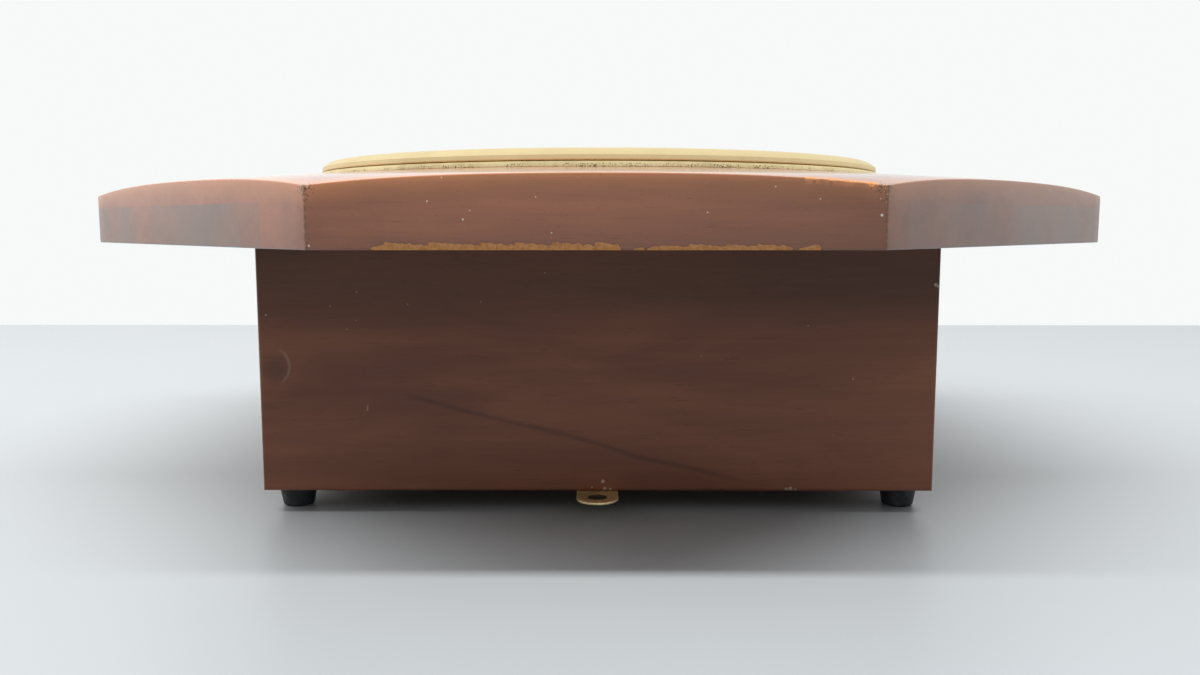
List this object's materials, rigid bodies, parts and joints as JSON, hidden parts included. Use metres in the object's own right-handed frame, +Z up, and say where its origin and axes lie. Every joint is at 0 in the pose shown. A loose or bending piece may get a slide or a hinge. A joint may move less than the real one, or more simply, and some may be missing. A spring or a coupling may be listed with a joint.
{
  "type": "wind-up music box",
  "caption": "Wooden wind-up music box: turned octagonal top with a hinged glazed brass bezel over a cylinder movement, square case, bumper feet and a hanging plate.",
  "frame": {"origin": "on the ground under the middle of the case", "axes": "+Z up, -Y towards the front with the hanging plate, +X to the right seen from the front"},
  "size_m": [0.305, 0.305, 0.1044],
  "materials": {
    "stained_wood": "glossy",
    "plain_wood": "matte",
    "polished_brass": "polished",
    "aged_brass": "satin",
    "clear_glass": "clear",
    "black_rubber": "matte",
    "steel": "satin",
    "iron": "painted"
  },
  "bodies": {
    "case": {"top_board": "stained_wood", "front_panel": "stained_wood", "rear_panel": "stained_wood", "left_panel": "stained_wood", "right_panel": "stained_wood", "top_cleats": "plain_wood", "top_board_screws": "steel", "bottom_panel": "plain_wood", "bottom_cleats": "plain_wood", "bottom_panel_screws": "steel", "rubber_feet": "black_rubber", "foot_screws": "aged_brass", "hanging_plate": "aged_brass", "hanging_plate_screws": "aged_brass", "bezel_base_ring": "polished_brass", "base_ring_pins": "polished_brass", "bezel_hinge_fixed_leaf": "polished_brass", "bezel_hinge_screws": "polished_brass", "bezel_hinge_pin": "steel", "key_bush": "polished_brass", "movement_rails": "plain_wood", "bedplate": "iron", "bedplate_screws": "steel", "barrel_bridge_left": "aged_brass", "barrel_bridge_right": "aged_brass", "bridge_screws": "steel", "cylinder_bearings": "aged_brass", "bearing_screws": "steel", "comb_base": "iron", "comb": "steel", "comb_screws": "steel", "governor_frame": "aged_brass", "governor_frame_screws": "steel", "click_spring": "steel", "click_spring_screw": "steel", "click_screw": "steel", "stop_lever_post": "aged_brass", "stop_lever_screw": "steel"},
    "bezel": {"bezel_ring": "polished_brass", "bezel_glass": "clear_glass", "glass_retaining_ring": "polished_brass", "bezel_hinge_moving_leaf": "polished_brass"},
    "winder": {"winding_arbor": "steel", "ratchet_wheel": "steel", "winding_key": "polished_brass"},
    "click": {"click": "steel"},
    "cylinder": {"music_cylinder": "polished_brass", "cylinder_arbor": "steel", "cylinder_pinion": "steel", "cylinder_wheel": "polished_brass"},
    "barrel": {"spring_barrel": "polished_brass", "barrel_cover": "polished_brass", "mainspring": "steel"},
    "second_arbor": {"second_arbor": "steel", "screw_wheel": "polished_brass"},
    "governor": {"endless_screw": "steel", "governor_fly": "polished_brass"},
    "stop_lever": {"stop_lever": "aged_brass", "stop_lever_knob": "polished_brass"}
  },
  "joints": [
    {"name": "bezel_hinge", "type": "hinge", "parent": "case", "child": "bezel", "pos_m": [0, 0.1007, 0.0985], "axis": [-1, 0, 0], "range_deg": [0, 105]},
    {"name": "winding", "type": "hinge", "parent": "case", "child": "winder", "pos_m": [-0.08, 0.028, 0.048], "axis": [1, 0, 0], "range_deg": [0, 2250]},
    {"name": "click_lift", "type": "hinge", "parent": "case", "child": "click", "pos_m": [-0.0796, 0.03392, 0.06069], "axis": [-1, 0, 0], "range_deg": [0, 12], "stiffness_Nm_per_rad": 0.01},
    {"name": "cylinder_spin", "type": "hinge", "parent": "case", "child": "cylinder", "pos_m": [0, -0.004, 0.048], "axis": [1, 0, 0], "continuous": true},
    {"name": "barrel_spin", "type": "hinge", "parent": "case", "child": "barrel", "pos_m": [-0.06, 0.028, 0.048], "axis": [1, 0, 0], "continuous": true},
    {"name": "second_arbor_spin", "type": "hinge", "parent": "case", "child": "second_arbor", "pos_m": [0.05, 0.017, 0.048], "axis": [1, 0, 0], "continuous": true},
    {"name": "governor_spin", "type": "hinge", "parent": "case", "child": "governor", "pos_m": [0.05625, 0.0263, 0.06], "axis": [0, 0, 1], "continuous": true},
    {"name": "stop_lever_swing", "type": "hinge", "parent": "case", "child": "stop_lever", "pos_m": [0.072, 0.006, 0.062], "axis": [0, 0, -1], "range_deg": [0, 18]}
  ],
  "couplings": [
    {"joint": "barrel_spin", "follows": "cylinder_spin", "ratio": -0.33333},
    {"joint": "second_arbor_spin", "follows": "cylinder_spin", "ratio": -6},
    {"joint": "governor_spin", "follows": "cylinder_spin", "ratio": 48}
  ]
}
